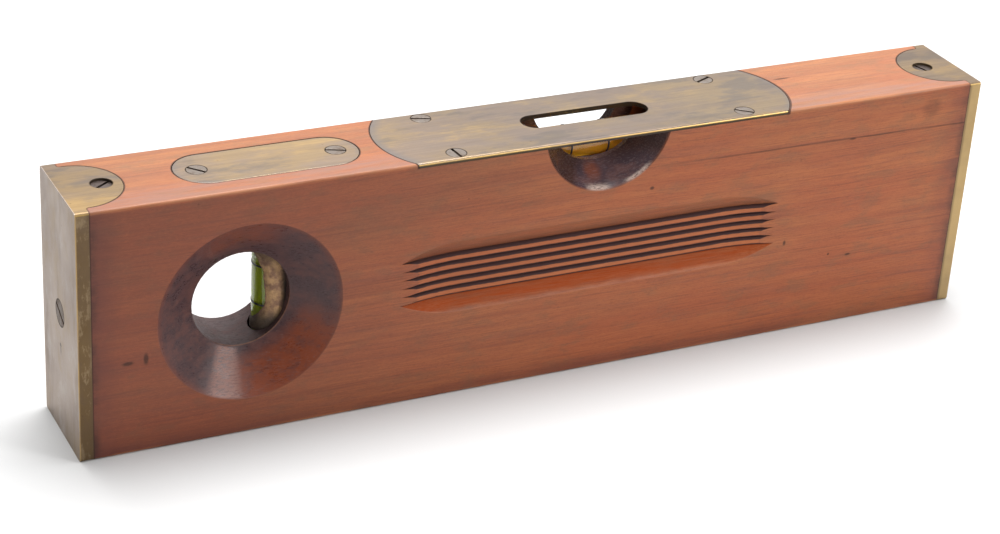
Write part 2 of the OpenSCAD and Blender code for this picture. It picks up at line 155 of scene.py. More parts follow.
class VialSettings(bpy.types.PropertyGroup):
    facets: IntProperty(name="Facets", description="Facets round a vial", default=96, min=24, max=256)
    radius: size("Radius", "Outer radius of the glass", 4.4, 3, 6)
    wall: size("Wall", "Thickness of the glass", 0.9, 0.4, 1.5)
    length: size("Length", "Length of a vial without its nib", 46, 20, 60)
    nib_radius: size("Nib radius", "Radius of the sealed nib", 0.9, 0.5, 2)
    nib_length: size("Nib length", "Length of the sealed nib", 1.6, 0.5, 3)
    wetting: size("Wetting", "How far the liquid reaches into the glass", 0.04, 0, 0.2)
    mark_gap: size("Line gap", "Distance between the two lines", 10.7, 6, 16)
    mark_width: size("Line width", "Width of a black line", 0.5, 0.2, 1)
    paint: size("Paint", "Thickness of the lines", 0.1, 0.02, 0.2)
    level_tone: tint("Level liquid", "Colour of the liquid in the level vial", (1.0, 0.47, 0.03))
    plumb_tone: tint("Plumb liquid", "Colour of the liquid in the plumb vial", (0.80, 1.0, 0.05))
    bubble_tone: tint("Bubbles", "Colour of the bubbles as they show through the liquid", (0.66, 0.56, 0.24))
    # Painted shade of the level liquid where its tube lies hidden in the plaster
    bedded_tone: tint("Bedded liquid", "The level liquid where plaster holds its tube", (0.10, 0.035, 0.008))
    plaster_tone: tint("Plaster", "Colour of the plaster", (0.46, 0.28, 0.135))
    # Dirt and painted shade deep in the plumb vial's seat
    plaster_dirt_tone: tint("Dirty plaster", "Dirt deep in the plumb vial's seat", (0.045, 0.034, 0.026))
    plaster_dark_tone: tint("Stained plaster", "Darker patches of the plaster", (0.22, 0.120, 0.075))


SETTINGS = {
    "level_stage": StageSettings,
    "level_wood": WoodSettings,
    "level_brass": BrassSettings,
    "level_screws": ScrewSettings,
    "level_vials": VialSettings,
}


# Building node trees


class Wires:
    """Adds nodes to one tree and joins their sockets."""

    def __init__(self, tree):
        self.tree = tree

    def put(self, socket, given):
        if isinstance(given, Value):
            self.tree.links.new(given.socket, socket)
        elif socket.type == "RGBA":
            socket.default_value = (*given[:3], 1.0)
        else:
            socket.default_value = given

    def add(self, kind, inputs=None, **settings):
        node = self.tree.nodes.new(kind)
        for name, given in settings.items():
            setattr(node, name, given)
        for name, given in (inputs or {}).items():
            self.put(node.inputs[name], given)
        return node

    def out(self, kind, inputs=None, **settings):
        """The first output of a new node."""
        return Value(self, self.add(kind, inputs, **settings).outputs[0])

    def maths(self, operation, *given):
        return self.out("ShaderNodeMath", dict(enumerate(given)), operation=operation)

    def vector(self, operation, *given):
        node = self.add("ShaderNodeVectorMath", dict(enumerate(given)), operation=operation)
        single = operation in ("LENGTH", "DISTANCE", "DOT_PRODUCT")
        return Value(self, node.outputs["Value" if single else "Vector"])

    def join(self, x, y, z):
        return self.out("ShaderNodeCombineXYZ", {"X": x, "Y": y, "Z": z})

    def mix(self, share, first, second, blend="MIX"):
        given = {0: share, 6: first, 7: second}
        node = self.add("ShaderNodeMix", given, data_type="RGBA", blend_type=blend)
        return Value(self, node.outputs[2])

    def bump(self, height, strength, distance):
        inputs = {"Height": height, "Strength": strength, "Distance": distance}
        return self.out("ShaderNodeBump", inputs)

    def place(self):
        """Object coordinates in millimetres."""
        place = self.add("ShaderNodeTexCoord").outputs["Object"]
        return Value(self, place).scaled((1000.0, 1000.0, 1000.0))

    def shade(self, inputs):
        """Sets the inputs of the material's shader."""
        shader = self.tree.nodes["Principled BSDF"]
        for name, given in inputs.items():
            self.put(shader.inputs[name], given)


class Value:
    """A number, place or colour that a node puts out. Arithmetic on it adds maths nodes."""

    def __init__(self, wires, socket):
        self.wires = wires
        self.socket = socket

    def __add__(self, other):
        return self.wires.maths("ADD", self, other)

    def __sub__(self, other):
        return self.wires.maths("SUBTRACT", self, other)

    def __rsub__(self, other):
        return self.wires.maths("SUBTRACT", other, self)

    def __mul__(self, other):
        return self.wires.maths("MULTIPLY", self, other)

    def __truediv__(self, other):
        return self.wires.maths("DIVIDE", self, other)

    def __abs__(self):
        return self.wires.maths("ABSOLUTE", self)

    def beyond(self, start):
        """How far this number lies past start, and 0 before it."""
        return self.wires.maths("MAXIMUM", self - start, 0.0)

    def angle(self, other):
        """The angle whose tangent is this number over the other one."""
        return self.wires.maths("ARCTAN2", self, other)

    def span(self, low, high, to_low=0.0, to_high=1.0):
        """Eases from to_low to to_high as this number goes from low to high."""
        given = dict(enumerate((self, low, high, to_low, to_high)))
        return self.wires.out("ShaderNodeMapRange", given, interpolation_type="SMOOTHSTEP")

    def band(self, middle_at, half, soft):
        """1 where this number lies within half of middle_at, easing to 0 over soft."""
        return abs(self - middle_at).span(half, half + soft, 1.0, 0.0)

    def split(self):
        node = self.wires.add("ShaderNodeSeparateXYZ", {"Vector": self})
        return [Value(self.wires, socket) for socket in node.outputs]

    def scaled(self, factors):
        return self.wires.vector("MULTIPLY", self, factors)

    def moved(self, offset):
        return self.wires.vector("ADD", self, offset)

    def measured_from(self, centre):
        return self.wires.vector("SUBTRACT", self, centre)

    def length(self):
        return self.wires.vector("LENGTH", self)

    def toward(self, direction):
        """The cosine of the angle between this place's direction and another one."""
        return self.wires.vector("DOT_PRODUCT", self.wires.vector("NORMALIZE", self), direction)

    def noise(self, stretch, detail=2.0, roughness=0.5):
        """Cloudy noise at this place; stretch is its scale, or three factors."""
        place, scale = self, stretch
        if isinstance(stretch, tuple):
            place, scale = self.scaled(stretch), 1.0
        inputs = {"Vector": place, "Scale": scale, "Detail": detail, "Roughness": roughness}
        return self.wires.out("ShaderNodeTexNoise", inputs)

    def mark(self, centre, half):
        """A soft spot at this place: 1 at centre and 0 from half away in each direction."""
        away = self.wires.vector("DIVIDE", self.measured_from(centre), half)
        return away.length().span(0.35, 1.0, 1.0, 0.0)

    def group(self, name, **inputs):
        """The outputs of a shared group placed here."""
        node = self.wires.add("ShaderNodeGroup", {"Vector": self, **inputs}, node_tree=shared(name))
        return {socket.name: Value(self.wires, socket) for socket in node.outputs}

    def coats(self, *layers):
        """Lays colours over this one, each with the mask of where and how thickly it covers."""
        tone = self
        for colour, mask in layers:
            tone = self.wires.mix(mask, tone, colour)
        return tone

    def tinted(self, colour, mask):
        """Multiplies this colour by another one where the mask is 1."""
        return self.wires.mix(mask, self, colour, "MULTIPLY")


def either(first, *others):
    """The greatest of several masks."""
    result = first
    for other in others:
        result = result.wires.maths("MAXIMUM", result, other)
    return result


def distance(a, b, centre):
    """Distance of the point (a, b) from a centre in its plane."""
    return a.wires.vector("DISTANCE", a.wires.join(a, b, 0.0), (centre[0], centre[1], 0.0))


def round_ended(x, y, middle_at, straight):
    """Distance from the middle line of a round-ended shape whose straight sides run straight either way."""
    return x.wires.join(abs(x - middle_at).beyond(straight), y, 0.0).length()


def below(centred):
    """Degrees from straight below the centre of an eye, more to the right."""
    across, _, up = centred.split()
    return across.angle(up * -1.0) * DEGREES


def new_material(name):
    material = bpy.data.materials.new(name)
    material.use_nodes = True
    return material, Wires(material.node_tree)


def new_group(name, kind, inputs, outputs):
    """An empty node group with named sockets, its wires, its inputs as values and its output sockets."""
    tree = bpy.data.node_groups.new(name, kind)
    for title, socket, given in inputs:
        item = tree.interface.new_socket(title, in_out="INPUT", socket_type="NodeSocket" + socket)
        if given is not None:
            item.default_value = given
    for title, socket in outputs:
        tree.interface.new_socket(title, in_out="OUTPUT", socket_type="NodeSocket" + socket)
    wires = Wires(tree)
    given = {socket.name: Value(wires, socket) for socket in wires.add("NodeGroupInput").outputs}
    return tree, wires, given, wires.add("NodeGroupOutput").inputs


def speck_group():
    """Small scattered spots: cells of a given size, of which only some hold a spot."""
    tree, wires, given, result = new_group(
        "Specks",
        "ShaderNodeTree",
        [
            ("Vector", "Vector", None),
            ("Density", "Float", 0.1),
            ("Share", "Float", 0.1),
            ("Radius", "Float", 0.06),
        ],
        [("Mask", "Float")],
    )
    cells = wires.add("ShaderNodeTexVoronoi", {"Vector": given["Vector"], "Scale": given["Density"]})
    chance = Value(wires, cells.outputs["Color"]).split()[0]
    chosen = wires.maths("LESS_THAN", chance, given["Share"])
    spot = Value(wires, cells.outputs["Distance"]).span(0.0, given["Radius"], 1.0, 0.0)
    wires.put(result["Mask"], spot * chosen)
    return tree


def brushed_group():
    """Fine marks along one direction: a height and a mask of the deepest ones."""
    tree, wires, given, result = new_group(
        "Fine marks",
        "ShaderNodeTree",
        [("Vector", "Vector", None), ("Stretch", "Vector", (0.03, 2.0, 2.0)), ("Depth", "Float", 0.65)],
        [("Height", "Float"), ("Mask", "Float")],
    )
    fine = given["Vector"].scaled(given["Stretch"]).noise(1.0, 4.0, 0.7)
    wires.put(result["Height"], fine)
    wires.put(result["Mask"], fine.span(given["Depth"], given["Depth"] + 0.08))
    return tree


def turned_tree():
    """Turns an outline, drawn with X as its radius and Z as its height, round the Z axis."""
    tree, wires, given, result = new_group(
        "Turned outline",
        "GeometryNodeTree",
        [("Outline", "Geometry", None), ("Facets", "Int", 96)],
        [("Mesh", "Geometry")],
    )
    # The circle is so small that a point on the axis closes up; the outline is laid in its plane first
    tiny = 1e-5
    quarter = (math.pi / 2, 0.0, 0.0)
    upright = wires.out("GeometryNodeTransform", {"Geometry": given["Outline"], "Rotation": quarter})
    outline = wires.out("GeometryNodeMeshToCurve", {"Mesh": upright})
    circle = wires.out("GeometryNodeCurvePrimitiveCircle", {"Resolution": given["Facets"], "Radius": tiny})
    skinned = wires.out("GeometryNodeCurveToMesh", {"Curve": circle, "Profile Curve": outline})
    closed = wires.out("GeometryNodeMergeByDistance", {"Geometry": skinned, "Distance": 3 * tiny})
    wires.put(result["Mesh"], closed)
    return tree


GROUPS = {}
MAKERS = {"specks": speck_group, "fine marks": brushed_group, "turned outline": turned_tree}


def shared(name):
    """A group that several trees use, built once."""
    if name not in GROUPS:
        GROUPS[name] = MAKERS[name]()
    return GROUPS[name]


# Meshes


def middle(name):
    low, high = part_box(name)
    return (low + high) / 2


def merged_copy(node):
    """A frame node's mesh for editing, with its loose triangles merged."""
    work = bmesh.new()
    work.from_mesh(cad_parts[node].data)
    bmesh.ops.remove_doubles(work, verts=work.verts, dist=SAME_POINT)
    return work


def islands(node):
    """The separate solids of a frame node, each as its lowest and highest corner, from left to right."""
    work = merged_copy(node)
    left, found = set(work.verts), []
    while left:
        stack = [left.pop()]
        points = []
        while stack:
            vert = stack.pop()
            points.append(vert.co.copy())
            for edge in vert.link_edges:
                other = edge.other_vert(vert)
                if other in left:
                    left.remove(other)
                    stack.append(other)
        low = Vector([min(p[i] for p in points) for i in range(3)])
        high = Vector([max(p[i] for p in points) for i in range(3)])
        found.append((low, high))
    work.free()
    return sorted(found, key=lambda pair: tuple(round(c, 5) for c in pair[0]))


def add_object(name, mesh):
    piece = bpy.data.objects.new(name, mesh)
    bpy.context.scene.collection.objects.link(piece)
    return piece


def smooth_object(name, work):
    """An object of an edited mesh, smooth and without old normals or materials."""
    mesh = bpy.data.meshes.new(name)
    work.to_mesh(mesh)
    work.free()
    for attribute in [a for a in mesh.attributes if a.name == "custom_normal"]:
        mesh.attributes.remove(attribute)
    mesh.materials.clear()
    mesh.shade_smooth()
    return add_object(name, mesh)


def evaluated(piece):
    """Applies every modifier: the result is a plain mesh in the same object."""
    graph = bpy.context.evaluated_depsgraph_get()
    shape = piece.evaluated_get(graph)
    mesh = bpy.data.meshes.new_from_object(shape, preserve_all_data_layers=True, depsgraph=graph)
    piece.modifiers.clear()
    old = piece.data
    piece.data = mesh
    bpy.data.meshes.remove(old)
    return piece


def soften(piece, width, corner):
    """Rounds the edges of a piece that turn by more than corner degrees."""
    bevel = piece.modifiers.new("Soft edges", "BEVEL")
    bevel.width = width
    bevel.segments = 2
    bevel.limit_method = "ANGLE"
    bevel.angle_limit = math.radians(corner)
    bevel.harden_normals = True
    return evaluated(piece)


def soft_copy(node, name, width, flat=0.6, corner=24.0):
    """A copy of a frame node with its edges rounded by width."""
    work = merged_copy(node)
    bmesh.ops.dissolve_limit(work, angle_limit=math.radians(flat), verts=work.verts, edges=work.edges)
    return soften(smooth_object(name, work), width, corner)


def skin(work, rings):
    """Lays faces from each closed ring of points to the next one."""
    count = len(rings[0])
    for first, second in zip(rings, rings[1:]):
        for j in range(count):
            k = (j + 1) % count
            work.faces.new((first[j], first[k], second[k], second[j]))


def joined(first, second, name, flip=False):
    """Adds the second piece to the first one, which flip turns inside out."""
    work = bmesh.new()
    work.from_mesh(first.data)
    if flip:
        bmesh.ops.reverse_faces(work, faces=work.faces)
    work.from_mesh(second.data)
    work.to_mesh(first.data)
    work.free()
    bpy.data.objects.remove(second)
    first.name = name
    return first


def finish_piece(piece, material, slot, body, *nodes):
    piece.data.materials.clear()
    piece.data.materials.append(material)
    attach(piece, body)
    if nodes:
        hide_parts(*nodes)


class LEVEL_OT_stage(bpy.types.Operator):
    """Lays the floor, hangs the lights and sets up the camera"""

    bl_idname = "level.stage"
    bl_label = "Stage"

    def execute(self, context):
        choice = context.scene.level_stage
        scene = context.scene
        scene.view_settings.view_transform = "Standard"

        material, wires = new_material("floor_paper")
        wires.shade({"Base Color": choice.floor_tone, "Roughness": 0.9, "Specular IOR Level": 0.1})
        mesh = bpy.data.meshes.new("floor")
        reach = 3.0
        corners = [(-reach, -reach, 0), (reach, -reach, 0), (reach, reach, 0), (-reach, reach, 0)]
        mesh.from_pydata(corners, [], [(0, 1, 2, 3)])
        floor = add_object("floor", mesh)
        mesh.materials.append(material)

        world = bpy.data.worlds.new("surround")
        scene.world = world
        world.use_nodes = True
        sky = world.node_tree.nodes["Background"]
        sky.inputs["Color"].default_value = (1.0, 1.0, 1.0, 1.0)
        sky.inputs["Strength"].default_value = choice.surround

        self.add_light("key", choice.key_power, (0.8, 0.6), (0.05, 0.18, 1.0))
        self.add_light("back", choice.back_power, (2.2, 1.1), (0.45, 1.3, 0.72))
        self.add_light("side", choice.side_power, (0.17, 0.24), (0.335, -0.43, 0.36))

        camera = add_object("camera", bpy.data.cameras.new("camera"))
        camera.data.sensor_width = 36.0
        camera.data.lens = choice.lens
        camera.data.clip_start = 0.01
        right = Vector((0.90046, -0.43096, 0.05870))
        down = Vector((-0.15096, -0.43624, -0.88708))
        look = Vector((0.40790, 0.78992, -0.45787))
        turn = Matrix((right, -down, -look)).transposed()
        camera.matrix_world = Matrix.Translation((-0.270171, -0.505837, 0.319607)) @ turn.to_4x4()
        scene.camera = camera
        return {"FINISHED"}

    def add_light(self, name, energy, sizes, place):
        lamp = bpy.data.lights.new(name, "AREA")
        lamp.shape = "RECTANGLE"
        lamp.size, lamp.size_y = sizes
        lamp.energy = energy
        light = add_object(name, lamp)
        light.location = place
        aim = Vector((0, 0, 0.03)) - Vector(place)
        light.rotation_euler = aim.to_track_quat("-Z", "Y").to_euler()


# Places on the object, in millimetres

HALF_T = 14.25
TOP = 67.0
END = 127.0
PLUMB_EYE = (-83.3, 33.5)
LEVEL_EYE = (12.6, 70.1)
EYE_R = 12.8
EYE_DEPTH = 7.5
PLUMB_MOUTH = 24.0
LEVEL_MOUTH = 18.2
GRIP_MIDDLE = (11.0, 34.0)
GRIP_HALF = 56.0
GRIP_STRAIGHT = 37.3
CUTTER_R = 70.0
REEDS_HALF = 5.9
REEDS_DEEP = 1.27
SIGHT_MIDDLE = 12.6
SIGHT_ARCS = ((-24.1, 0.0), (49.3, 0.0))
SIGHT_ARC_R = 21.5
SIGHT_SCREWS = (41.4, 10.9)
SLOT_STRAIGHT = 14.15
SLOT_R = 4.0
PLUMB_MIDDLE = -74.6
PLUMB_STRAIGHT = 15.5
PLUMB_R = 8.2
PLUMB_SCREWS = (18.0, 0.0)
LUG_SCREWS = (-116.2, 117.4)
LUG_AT = 122.8
LUG_R = 11.5
CAP_AT = 123.2
END_SCREW = (0.0, 34.0)
END_SCREW_R = 3.45

# Each dent in the wood: its place and half its size
DENTS = (
    ((26.3, -HALF_T, 50.4), (0.9, 2.0, 0.7)),
    ((69.3, -HALF_T, 27.4), (0.6, 2.0, 1.0)),
    ((84.1, -HALF_T, 21.6), (0.5, 2.0, 0.5)),
    ((90.5, -HALF_T, 20.5), (1.2, 2.0, 0.5)),
    ((-114.7, -HALF_T, 25.2), (2.0, 2.0, 0.8)),
    ((-110.2, -HALF_T, 25.7), (0.9, 2.0, 2.2)),
    ((74.9, 4.75, TOP), (3.4, 0.55, 2.0)),
    ((-105.1, 14.1, TOP), (3.6, 0.8, 1.0)),
    ((87.2, -HALF_T, 55.8), (1.6, 2.0, 0.5)),
)


def wood_material(choice):
    """Reddish varnished wood: grain, worn edges, dirty joints with painted shadow in their gaps, a painted
    sheen on the top, dark varnish in the eyes with painted light and shade, and rubbed grips with painted
    shade between the reeds.
    """
    material, wires = new_material("stained_wood")
    place = wires.place()
    x, y, z = place.split()
    side_x = abs(x)
    depth = HALF_T - abs(y)
    on_side = z.span(TOP - 0.3, TOP - 1.5)
    off_top = z.span(TOP + 0.1, TOP - 0.5)

    # Grain: slow bands, short fine fibres, dark pores and purple streaks, all running along the stock
    sway = place.noise((0.010, 0.02, 0.02), 1.0)
    swayed = place.moved(wires.join(0.0, sway * 2.5, sway * 4.0))
    bands = swayed.noise((0.005, 0.28, 0.28), 4.0, 0.7)
    fibre = swayed.noise((0.14, 4.2, 4.2), 5.0, 0.80)
    pores = swayed.group("fine marks", Stretch=(0.60, 5.0, 5.0), Depth=0.58)
    streaks = swayed.noise((0.022, 2.0, 2.0), 3.0, 0.6)
    haze = swayed.noise((0.040, 0.55, 0.55), 4.0, 0.65)
    cloud = place.noise((0.02, 0.045, 0.045), 3.0, 0.55)
    blotch = place.noise((0.10, 0.22, 0.22), 4.0, 0.65)
    grit = place.noise((1.4, 3.2, 3.2), 2.0, 0.6)
    smoky = cloud.span(0.62, 0.40, 0.2, 1.0) * x.span(10.0, -60.0) * z.span(40.0, 62.0) * on_side
    tone = wires.mix(bands.span(0.34, 0.66), choice.dark_tone, choice.light_tone).coats(
        (choice.warm_tone, cloud.span(0.35, 0.65, 0.0, 0.6)),
        (choice.haze_tone, haze.span(0.48, 0.68, 0.0, 0.32)),
        (choice.smoke_tone, smoky * 0.6),
        (choice.deep_tone, fibre.span(0.60, 0.36, 0.0, 0.34)),
        (choice.deep_tone, streaks.span(0.58, 0.64, 0.0, 0.28)),
        (choice.deep_tone, pores["Mask"] * 0.34),
        (choice.smoke_tone, blotch.span(0.50, 0.66, 0.0, 0.38)),
        # Painted shade: the long sides darken toward the left end, away from the light at the front right
        (choice.burgundy_tone, x.span(35.0, -118.0) * on_side * 0.46),
        (choice.deep_tone, grit.span(0.56, 0.70, 0.0, 0.22)),
        (choice.light_tone, grit.span(0.44, 0.30, 0.0, 0.16)),
    )

    # Wear, dirt and a painted sheen on the flat faces
    on_top = z.span(TOP - 0.9, TOP - 0.2)
    # Painted sheen: a greyer band along the front of the top, where the varnish would reflect the light
    sheen = on_top * y.span(-4.0, -10.5) * haze.span(0.35, 0.6, 0.15, 0.65)
    near_cap = side_x.span(114.0, 124.0) * place.noise(0.12, 3.0, 0.6).span(0.3, 0.7, 0.45, 0.9) * off_top
    seam = place.noise(0.3, 4.0, 0.6).span(0.35, 0.65, 0.10, 0.50) + z.span(12.0, 0.0, 0.0, 0.35)
    seam = seam * side_x.span(CAP_AT - 2.2, CAP_AT + 0.1) * off_top
    low = z.span(5.0, 0.5) * cloud.span(0.3, 0.7, 0.2, 0.6)
    arris = depth.span(1.0, 0.2) * either(z.span(TOP - 1.1, TOP - 0.3), z.span(1.1, 0.3))
    arris = arris * place.noise((0.05, 0.4, 0.4), 3.0).span(0.4, 0.6, 0.1, 0.5)
    tone = tone.tinted(choice.sun_tone, on_top).coats(
        (choice.sheen_tone, sheen),
        (choice.burgundy_tone, near_cap * 0.75),
        (choice.dirt_tone, seam),
        (choice.burgundy_tone, low),
        (choice.worn_tone, arris),
    )
    crack_z = z + x * 0.0089 + place.noise((0.03, 0.0, 0.0)) * 0.8
    crack = crack_z.band(57.1, 0.08, 0.28) * x.span(14.0, 60.0) * y.span(0.0, -5.0)
    crack = crack * place.noise((0.06, 0.0, 0.0), 3.0).span(0.3, 0.6, 0.35, 1.0)
    spots = place.scaled((0.7, 1.0, 1.0)).group("specks", Density=0.16, Share=0.30, Radius=0.06)["Mask"]
    dents = either(*[place.mark(centre, half) for centre, half in DENTS]) * 0.75
    smudge = place.mark((111.8, -HALF_T, 61.4), (4.0, 3.0, 4.0)) * 0.30
    dirt_and_shade = either(dents, crack * 0.62, spots * 0.5, smudge)

    # Dirt in the joints round the inlaid brass, and painted shadow in their gaps
    left_arc, right_arc = [distance(x, y, centre) for centre in SIGHT_ARCS]
    # Dirt in the joints, and painted shadow in the gaps between the wood and the brass
    joint_dirt_and_shade = either(
        right_arc.band(SIGHT_ARC_R + 0.25, 0.25, 0.25) * x.span(55.0, 56.0),
        left_arc.band(SIGHT_ARC_R + 0.15, 0.1, 0.25) * x.span(-30.0, -31.0),
        distance(side_x, y, (LUG_AT, 0.0)).band(LUG_R + 0.15, 0.1, 0.3) * side_x.span(123.6, 122.0),
        round_ended(x, y, PLUMB_MIDDLE, PLUMB_STRAIGHT).band(PLUMB_R + 0.15, 0.1, 0.25),
    )
    joint_dirt_and_shade = joint_dirt_and_shade * z.span(TOP - 1.5, TOP - 1.0)
    dirt_and_shade = either(dirt_and_shade, joint_dirt_and_shade * 0.85, side_x.span(CAP_AT, CAP_AT + 0.3) * 0.7)
    tone = tone.coats((choice.dirt_tone, dirt_and_shade))

    # Old dark varnish in the two eyes, red in places, with painted light where the plumb eye's cone turns
    # toward the lower right
    plumb_r = distance(x, z, PLUMB_EYE)
    level_r = distance(x, z, LEVEL_EYE)
    in_plumb = plumb_r.span(PLUMB_MOUTH + 0.2, PLUMB_MOUTH - 0.5)
    in_level = level_r.span(LEVEL_MOUTH + 0.2, LEVEL_MOUTH - 0.5)
    in_eye = either(in_plumb, in_level) * depth.span(-0.02, 0.05, 0.8, 1.0)
    from_plumb = wires.join(x, 0.0, z).measured_from((PLUMB_EYE[0], 0.0, PLUMB_EYE[1]))
    from_level = place.measured_from((LEVEL_EYE[0], 0.0, LEVEL_EYE[1]))
    to_lower_right = from_plumb.toward((0.52, 0.0, -0.854))
    # Red patches of the varnish, and painted light: the plumb eye's cone is lit red toward its lower right
    red = either(
        to_lower_right.span(0.55, 0.92) * plumb_r.span(13.3, 17.5) * in_plumb,
        from_plumb.toward((-0.1, 0.0, 1.0)).span(0.80, 0.99) * plumb_r.span(15.0, 19.0) * in_plumb * 0.55,
        place.mark((10.8, -10.0, 56.0), (3.4, 5.0, 3.2)) * 0.6,
        in_plumb * plumb_r.span(22.0, 24.2) * 0.5,
    )
    red = red * place.noise((0.25, 0.5, 0.5), 5.0, 0.75).span(0.28, 0.58, 0.35, 1.0)
    mottle = place.noise((0.16, 0.30, 0.30), 5.0, 0.7)
    scratch = place.noise((0.5, 2.6, 2.6), 4.0, 0.75)
    varnish = wires.mix(mottle.span(0.42, 0.66), choice.stain_tone, choice.stain_warm_tone).coats(
        (choice.red_tone, red),
        (choice.scratch_tone, scratch.span(0.54, 0.70, 0.0, 0.5)),
        (choice.dirt_tone, scratch.span(0.46, 0.32, 0.0, 0.2)),
    )

    # The level eye has painted shadow of the sight plate beside its vial, and a patch rubbed pale and a
    # painted glint on its mouth.
    # The plumb eye has a painted highlight below its bore.
    shade_z = z + x.span(8.0, -3.0, 0.0, 7.0) - x.span(16.0, 27.0, 0.0, 3.0)
    round_level = below(from_level)
    # Painted glint along the lower right of the level eye's mouth; the patch below it is real wear
    glint = round_level.band(32.0, 6.0, 11.0) * level_r.span(17.3, 17.8)
    patch = round_level.band(-6.0, 4.0, 11.0) * level_r.span(16.6, 17.8)
    level_wear_and_glint = either(glint, patch) * scratch.span(0.38, 0.54, 0.25, 1.0) * y.span(0.0, -4.0)
    # Painted highlight: a pinkish strip on the plumb eye's cone below its bore, where the light from the
    # front right reflects
    plumb_painted_highlight = in_plumb * abs(below(from_plumb) + 17.0).span(15.0, 6.0) * scratch.span(0.36, 0.58)
    plumb_painted_highlight = plumb_painted_highlight * depth.span(EYE_DEPTH + 0.1, EYE_DEPTH - 0.5) * y.span(3.0, -3.0, 0.3, 1.0)
    varnish = varnish.tinted(choice.level_tone, in_level).coats(
        # Painted shadow of the sight plate, dark beside the level vial
        (choice.dirt_tone, in_level * shade_z.span(55.0, 59.0) * 0.75),
        (choice.pale_tone, level_wear_and_glint),
        (choice.rubbed_tone, plumb_painted_highlight),
    )
    across, _, up = from_plumb.split()
    bore = plumb_r.span(13.3, 12.9) * depth.span(5.6, 6.2)
    rubbed = place.noise((0.5, 0.8, 2.6), 4.0, 0.75)
    turned = wires.join(0.0, y * 1.6, up.angle(across) * 2.0).noise(1.0, 4.0, 0.7)
    # Painted highlight: a thin light line on the lower right of the edge where the plumb eye's cone meets its
    # bore
    rim_highlight = plumb_r.band(EYE_R, 0.05, 0.15) * depth.band(EYE_DEPTH, 0.1, 0.2)
    rim_highlight = rim_highlight * y.span(0.0, -2.0) * to_lower_right.span(0.3, 0.8)
    tone = tone.coats(
        (varnish, in_eye * (in_level * 0.07 + 0.93)),
        (choice.bore_tone, bore * turned.span(0.35, 0.65, 0.2, 0.9)),
        (choice.dirt_tone, bore * rubbed.span(0.50, 0.36, 0.0, 0.6)),
        (choice.worn_tone, rim_highlight * 0.25),
    )

    # The grips: painted shade between the reeds and on the upper slope, raw colour on the lower slope.
    # The cutter rises toward both ends, so its rise is added to the depth.
    from_grip = abs(x - GRIP_MIDDLE[0])
    rise = z - GRIP_MIDDLE[1]
    in_grip = from_grip.span(GRIP_HALF + 1.0, GRIP_HALF - 1.0) * depth.span(0.02, 0.12)
    past_straight = from_grip.beyond(GRIP_STRAIGHT)
    cut = depth + past_straight * past_straight / (2 * CUTTER_R)
    ragged = (place.noise((0.25, 0.6, 0.6), 4.0, 0.7) - 0.5) * 0.16
    on_reeds = abs(rise).span(REEDS_HALF + 0.5, REEDS_HALF)
    # Painted shade in the valleys between the reeds
    valley_shade = in_grip * (cut + ragged).span(REEDS_DEEP, REEDS_DEEP + 0.09) * on_reeds
    slope = in_grip * (cut + ragged * 6.0).span(0.05, 0.90) * rise.span(-REEDS_HALF + 0.1, -REEDS_HALF - 0.4)
    raw = slope * fibre.span(0.35, 0.62, 0.95, 0.45) * haze.span(0.38, 0.60, 1.0, 0.5)
    upper = in_grip * rise.span(REEDS_HALF - 0.1, REEDS_HALF + 0.4)
    # Painted shade on the upper slope, which faces down
    upper_shade = upper * rise.span(10.2, 6.2, 0.1, 0.85) * fibre.span(0.3, 0.6, 1.0, 0.6)
    above = rise.span(13.0, 7.0) * rise.span(REEDS_HALF, REEDS_HALF + 0.5) * from_grip.span(60.0, 46.0)
    above = above * haze.span(0.3, 0.6, 0.3, 0.8) * depth.span(0.5, 0.0)
    tone = tone.coats(
        (choice.crest_tone, in_grip * on_reeds * 0.55),
        (choice.valley_tone, valley_shade * 0.95),
        (choice.slope_tone, raw),
        (choice.dusk_tone, upper_shade),
        (choice.smoke_tone, above * 0.7),
    )

    gloss = fibre.span(0.3, 0.7, 0.48, 0.38) + either(dirt_and_shade, valley_shade) * 0.30 + slope * 0.48
    eye_gloss = mottle.span(0.3, 0.75, 0.24, 0.36) + scratch.span(0.40, 0.62, 0.0, 0.18)
    eye_gloss = eye_gloss + bore * 0.25 - in_level * 0.14
    height = fibre * 0.5 + pores["Height"] * 0.35 - dirt_and_shade * 0.9
    height = height + mottle * in_eye * 0.8 + scratch * in_eye * 0.3
    wires.shade({
        "Base Color": tone,
        "Specular IOR Level": 0.32,
        "Roughness": wires.out("ShaderNodeMix", {0: in_eye, 2: gloss, 3: eye_gloss}, data_type="FLOAT"),
        "Normal": wires.bump(height, 0.35, 0.00012),
    })
    return material


